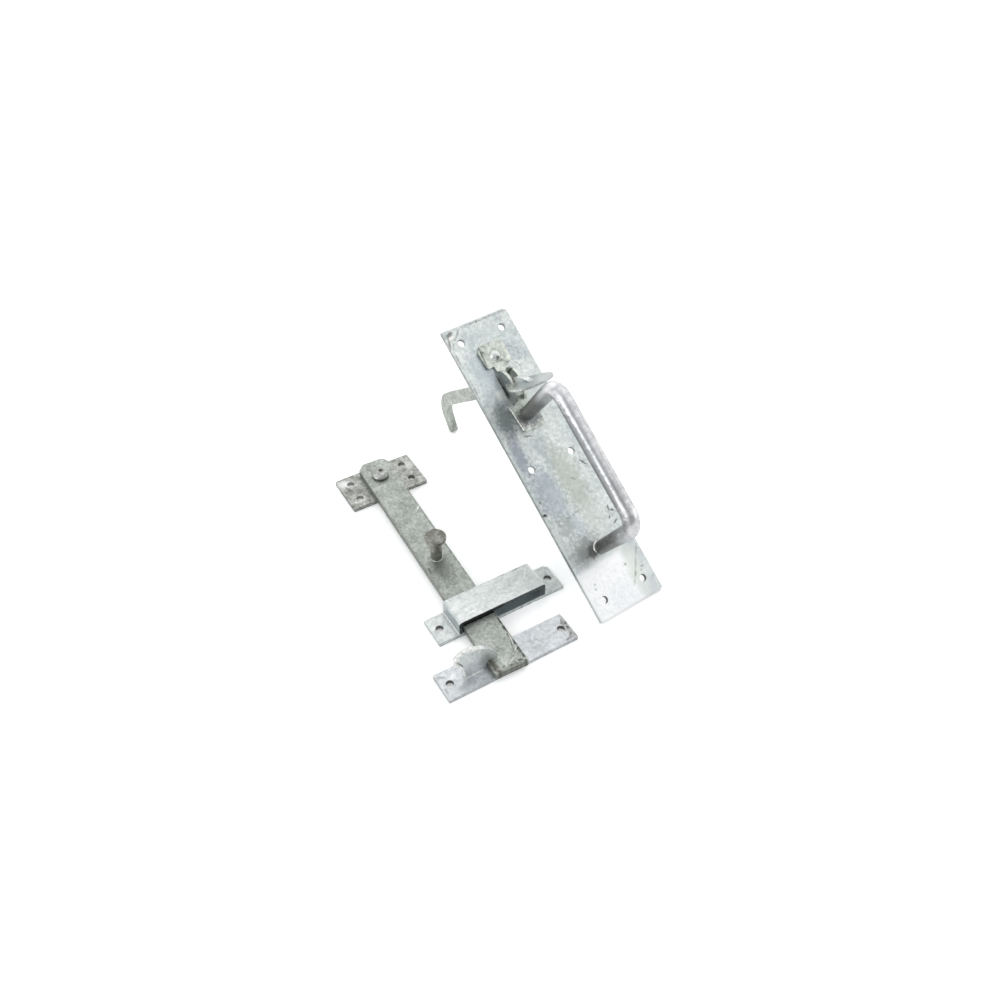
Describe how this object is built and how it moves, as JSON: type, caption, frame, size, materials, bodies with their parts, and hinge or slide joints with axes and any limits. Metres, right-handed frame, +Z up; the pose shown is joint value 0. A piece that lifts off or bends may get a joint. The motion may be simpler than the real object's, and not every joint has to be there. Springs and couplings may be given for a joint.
{
  "type": "suffolk latch",
  "caption": "Thumb latch set for a gate in galvanised steel: handle plate with pull handle and hooked thumb lever, pivoted bar with knob, guide and keep.",
  "frame": {"origin": "on the bench, under the middle of the set's bounding box as it is laid out", "axes": "+Z up from the bench; +X along the strips of the guide and the keep; +Y from the keep towards the bar's pivot"},
  "size_m": [0.1582, 0.2232, 0.1223],
  "materials": {
    "plate_zinc": "hot-dip galvanised, mottled, with dark specks and drawn streaks",
    "handle_zinc": "hot-dip galvanised round bar, smooth and fairly bright",
    "lever_zinc": "hot-dip galvanised forging, satin",
    "bar_zinc": "hot-dip galvanised flat, matte grey-green, lumpy at the ends",
    "knob_steel": "dull galvanised steel, brown-grey and mottled",
    "strip_zinc": "hot-dip galvanised strip, pale lilac-white, lumpy at the ends"
  },
  "bodies": {
    "fixed_set": {"handle_plate": "plate_zinc", "pull_handle": "handle_zinc", "thumb_bracket": "plate_zinc", "bracket_rivet": "plate_zinc", "lever_pin": "plate_zinc", "pivot_plate": "bar_zinc", "pivot_rivet": "bar_zinc", "guide_plate": "strip_zinc", "guide_bridge": "strip_zinc", "keep_plate": "strip_zinc", "keep_nib": "strip_zinc"},
    "lever": {"thumb_lever": "lever_zinc"},
    "bar": {"latch_bar": "bar_zinc", "bar_knob": "knob_steel"}
  },
  "joints": [
    {"name": "thumb_lever_pivot", "type": "hinge", "parent": "fixed_set", "child": "lever", "pos_m": [0.04521, 0.02264, 0.09399], "axis": [-0.9976, -0.0694, 0], "range_deg": [0, 30]},
    {"name": "bar_pivot", "type": "hinge", "parent": "fixed_set", "child": "bar", "pos_m": [-0.0315, 0.07566, 0.0058], "axis": [0, 0, 1], "range_deg": [0, 12.5]}
  ]
}
